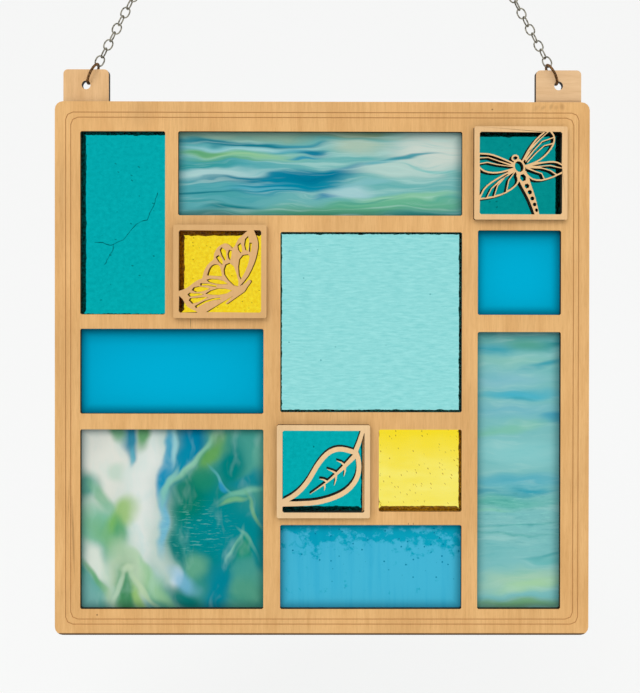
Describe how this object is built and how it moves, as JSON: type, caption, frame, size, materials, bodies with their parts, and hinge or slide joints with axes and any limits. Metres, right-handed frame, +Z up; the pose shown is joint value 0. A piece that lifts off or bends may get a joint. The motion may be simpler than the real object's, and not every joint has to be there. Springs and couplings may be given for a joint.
{
  "type": "window hanging",
  "caption": "Square layered wooden frame holding coloured glass panes and raised nature cut-outs, hung by two tabs on a chain and top ring.",
  "frame": {"origin": "where the top ring hangs on its hook: the lowest point of the hook's seat, inside the top of the ring, in the middle plane of the core board", "axes": "+Z up along the hanging line, +X to the right seen from the front, -Y towards the viewer in front"},
  "size_m": [0.3052, 0.0157, 0.5809],
  "materials": {
    "front_wood": "clear matt varnish, laser-cut dark edges",
    "core_wood": "clear matt varnish, laser-cut dark edges",
    "back_wood": "clear matt varnish, laser-cut dark edges",
    "overlay_wood": "clear matt varnish, laser-cut dark edges",
    "teal_glass": "clear textured",
    "yellow_glass": "clear, seedy",
    "aqua_glass": "clear, rippled",
    "blue_glass": "opalescent",
    "mottled_blue_glass": "opalescent, mottled",
    "swirl_glass": "opalescent, streaky",
    "chain_steel": "antiqued",
    "ring_brass": "antiqued"
  },
  "bodies": {
    "root": {"front_frame": "front_wood", "core_frame": "core_wood", "back_frame": "back_wood", "dragonfly_frame": "overlay_wood", "butterfly_frame": "overlay_wood", "leaf_frame": "overlay_wood", "tall_teal_pane": "teal_glass", "dragonfly_pane": "teal_glass", "leaf_pane": "teal_glass", "butterfly_pane": "yellow_glass", "small_yellow_pane": "yellow_glass", "large_aqua_pane": "aqua_glass", "small_blue_pane": "blue_glass", "wide_blue_pane": "blue_glass", "mottled_blue_pane": "mottled_blue_glass", "wide_swirl_pane": "swirl_glass", "tall_swirl_pane": "swirl_glass", "large_swirl_pane": "swirl_glass", "left_jump_ring": "ring_brass", "right_jump_ring": "ring_brass", "left_chain": "chain_steel", "right_chain": "chain_steel", "top_ring": "chain_steel"}
  },
  "joints": []
}
